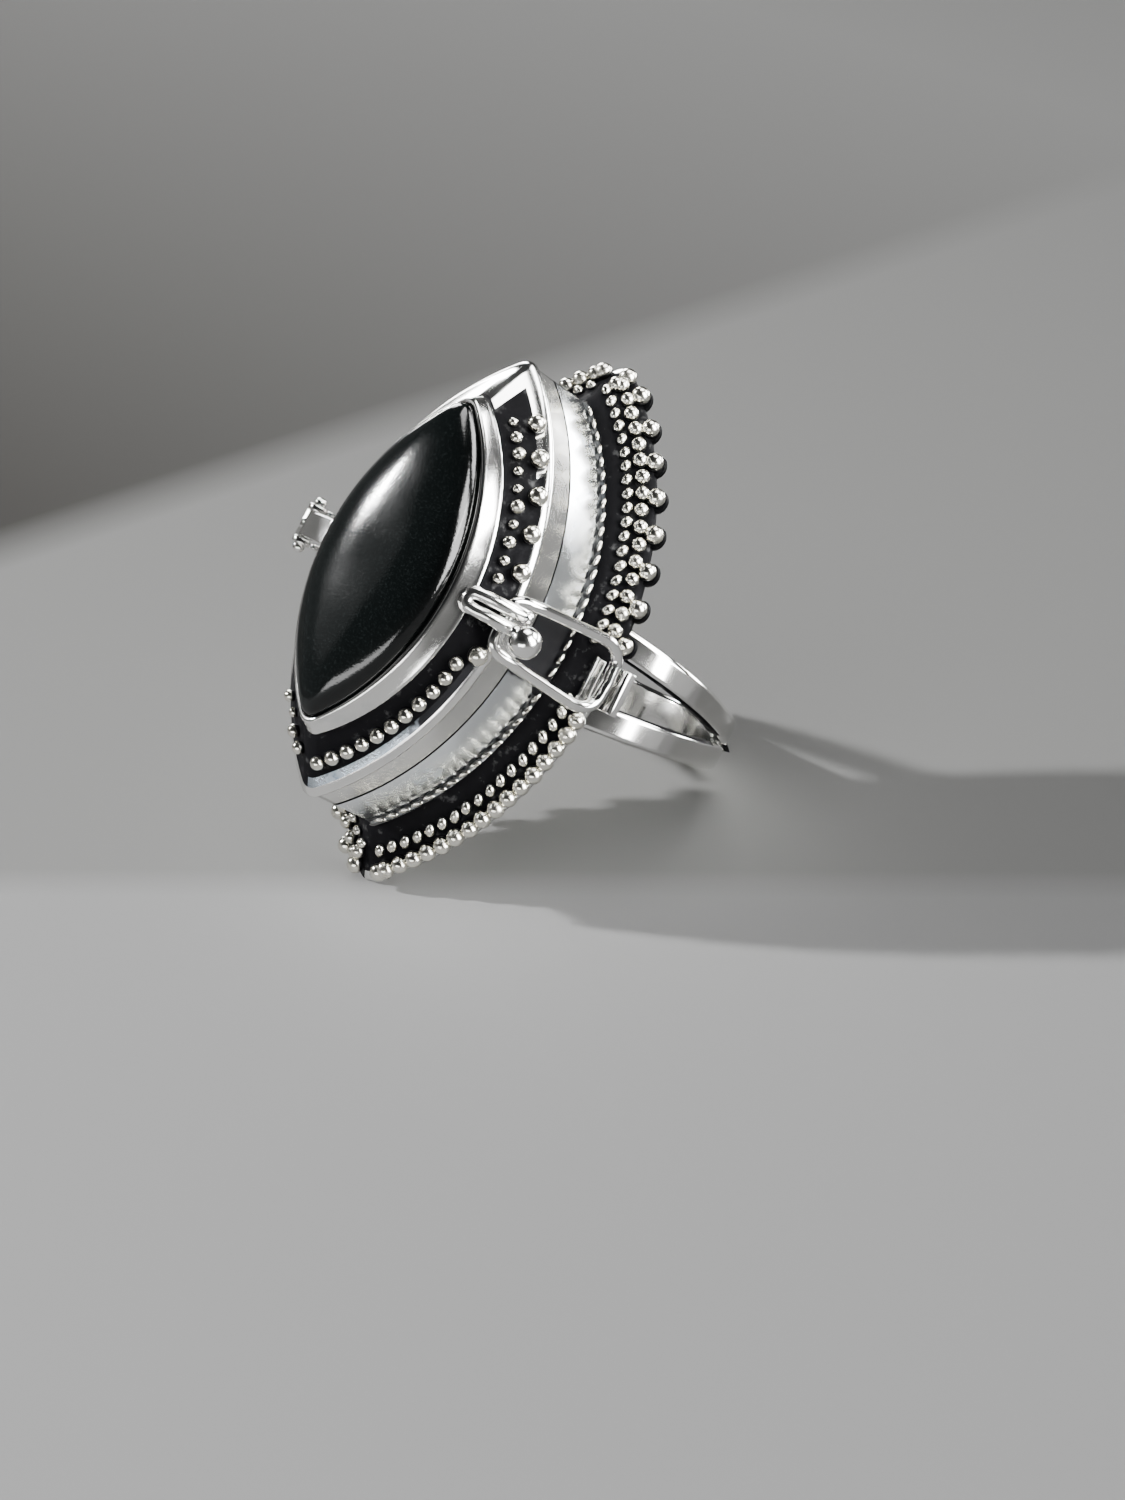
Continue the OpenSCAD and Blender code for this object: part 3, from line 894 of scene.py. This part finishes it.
# %% Sizes of the hinge
knuckle_radius = 0.56
strap_from, strap_to, strap_thick = 0.86, 1.22, 0.4
tab_half, tab_thick = 0.78, 0.34
pin_half, pin_radius = 1.36, 0.28
pin_ball_middle, pin_ball_radius = 1.4, 0.36

# %% Hinge straps
straps = bmesh.new()
for x0, x1 in ((-strap_to, -strap_from), (strap_from, strap_to)):
    bend_strip(straps, [(6.85, 12.9), (7.0, 14.2), (7.7, 15.0), (7.7, 18.9)], x0, x1, strap_thick)
    knuckle(straps, knuckle_radius, x0, x1)
soften(straps, 0.06, angle=50)
hand_over("hinge_straps", straps, "ring", [polished])

# %% Hinge tab
tab = bmesh.new()
bend_strip(tab, [(5.7, 20.35), (7.1, 20.0), (8.0, 19.55), (8.6, 19.4)],
           -tab_half, tab_half, tab_thick)
knuckle(tab, knuckle_radius, -tab_half, tab_half)
hand_over("hinge_tab", tab, "lid", [polished])

# %% Hinge wire
pin = bmesh.new()
wire(pin, [(-pin_half, hinge_y, hinge_z), (pin_half, hinge_y, hinge_z)], pin_radius)
for x in (-pin_ball_middle, pin_ball_middle):
    bmesh.ops.create_uvsphere(pin, u_segments=24, v_segments=16, radius=pin_ball_radius,
                              matrix=Matrix.Translation((x, hinge_y, hinge_z)))
piece = hand_over("hinge_wire", pin, "ring", [polished])
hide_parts("hinge_pin")

# %% [markdown]
# ## Paper, light and camera
#
# The ring lies on matte pale paper. A small bright window on the left throws its shadow to
# the right. Silver shows the room around it, so pale panels stand where the photographed
# ring mirrors something bright, and the sky between them stays dark.

# %% Paper
floor_level = cad_box[0][2]
half_sheet = 1.5
sheet = bmesh.new()
bmesh.ops.create_grid(sheet, x_segments=2, y_segments=2, size=half_sheet,
                      matrix=Matrix.Translation((0, 0, floor_level)))
mesh = bpy.data.meshes.new("paper")
sheet.to_mesh(mesh)
sheet.free()
paper = bpy.data.objects.new("paper", mesh)
bpy.context.scene.collection.objects.link(paper)
paper_finish, tree, skin = new_finish("matte paper",
                                      {"Roughness": 0.85, "Specular IOR Level": 0.0})
where = add_node(tree, "ShaderNodeTexCoord")
fibres = add_node(tree, "ShaderNodeTexNoise", Scale=2500.0, Detail=4.0)
tree.links.new(where.outputs["Object"], fibres.inputs["Vector"])
tooth = add_node(tree, "ShaderNodeBump", Strength=0.1, Distance=0.00005)
tree.links.new(fibres.outputs["Fac"], tooth.inputs["Height"])
tree.links.new(tooth.outputs["Normal"], skin.inputs["Normal"])


# %% Painted shadows of the room
# They are painted into the paper's colour: a dark one at the back left, and a pale one that ends
# in a line under the ring.
shade, light, painted_dark_shadow = (0.24, 0.24, 0.236), (0.315, 0.315, 0.315), (0.06, 0.058, 0.055)


def across_paper(way, low, high):
    """A number that goes from 0 to 1 along a direction on the paper."""
    along = add_node(tree, "ShaderNodeVectorMath", operation="DOT_PRODUCT")
    along.inputs[1].default_value = way
    tree.links.new(where.outputs["Object"], along.inputs[0])
    return ramp(tree, along.outputs["Value"], low, high)


# front is where the pale painted shadow ends, and corner is the dark painted shadow at the back
# left.
front = across_paper((0.72, -0.69, 0), 0.006, 0.009)
corner = math_node(tree, "MULTIPLY", across_paper((-0.998, 0.06, 0), 0.047, 0.053),
                   across_paper((0, 1, 0), 0.14, 0.0))
tone = mix_colour(tree, corner, mix_colour(tree, front, shade, light), painted_dark_shadow)
tree.links.new(tone, skin.inputs["Base Color"])
mesh.materials.append(paper_finish)


# %% Lights
def soft_light(name, place, size, watts, lights):
    """An area light aimed at the ring: "paper" lights what is matte, "shine" is only mirrored."""
    lamp = bpy.data.lights.new(name, "AREA")
    lamp.shape = "RECTANGLE"
    lamp.size, lamp.size_y = size
    lamp.energy = watts
    holder = bpy.data.objects.new(name, lamp)
    holder.location = place
    holder.rotation_euler = Vector(place).to_track_quat("Z", "Y").to_euler()
    holder.visible_diffuse = lights == "paper"
    holder.visible_glossy = lights == "shine"
    bpy.context.scene.collection.objects.link(holder)


soft_light("window", (-0.45, -0.4, 0.3), (0.025, 0.025), 9.0, "paper")
soft_light("ceiling", (0.15, -0.45, 0.8), (0.9, 0.9), 9.5, "paper")
soft_light("window glint", (-0.5, -0.25, 0.335), (0.03, 0.04), 7.0, "shine")
soft_light("window glow", (-0.44, -0.33, 0.31), (0.3, 0.25), 0.08, "shine")
soft_light("back left", (-0.47, 0.29, 0.2), (0.16, 0.4), 5.0, "shine")
soft_light("far low", (0.17, 0.6, 0.03), (0.45, 0.14), 6.0, "shine")
soft_light("back high", (0.24, 0.42, 0.31), (0.32, 0.2), 5.0, "shine")
soft_light("top", (-0.02, 0.2, 0.55), (0.3, 0.3), 3.5, "shine")
soft_light("right side", (0.48, 0.1, 0.16), (0.28, 0.3), 8.0, "shine")
soft_light("right high", (0.42, 0.06, 0.38), (0.24, 0.24), 5.0, "shine")
soft_light("front low", (0.2, -0.55, 0.05), (0.45, 0.12), 1.6, "shine")

# %% Dim room
# Near the floor the room is grey, and higher up it is nearly black.
low_grey, high_black = (0.3, 0.3, 0.295), (0.02, 0.021, 0.022)
room = bpy.data.worlds.new("grey room")
bpy.context.scene.world = room
room.use_nodes = True
tree = room.node_tree
where = add_node(tree, "ShaderNodeTexCoord")
height = add_node(tree, "ShaderNodeSeparateXYZ")
tree.links.new(where.outputs["Object"], height.inputs["Vector"])
sky = mix_colour(tree, ramp(tree, height.outputs["Z"], 0.0, 0.55), low_grey, high_black)
tree.links.new(sky, tree.nodes["Background"].inputs["Color"])
tree.nodes["Background"].inputs["Strength"].default_value = 0.6

# %% Camera
# Its place is given in the upright drawing, and its angles in degrees as the ring lies.
camera_upright = Vector((-8.744, -118.467, 160.718))
camera_azimuth, camera_elevation, camera_roll = 42.51, 29.43, 2.11
camera_data = bpy.data.cameras.new("camera")
camera_data.lens = 78.1
camera_data.sensor_width = 36.0
camera_data.clip_start = 0.01
camera = bpy.data.objects.new("camera", camera_data)
camera.matrix_world = (Matrix.Translation(LYING @ camera_upright)
                       @ Matrix.Rotation(math.radians(camera_azimuth), 4, "Z")
                       @ Matrix.Rotation(math.radians(90 - camera_elevation), 4, "X")
                       @ Matrix.Rotation(math.radians(camera_roll), 4, "Z"))
bpy.context.scene.collection.objects.link(camera)
bpy.context.scene.camera = camera
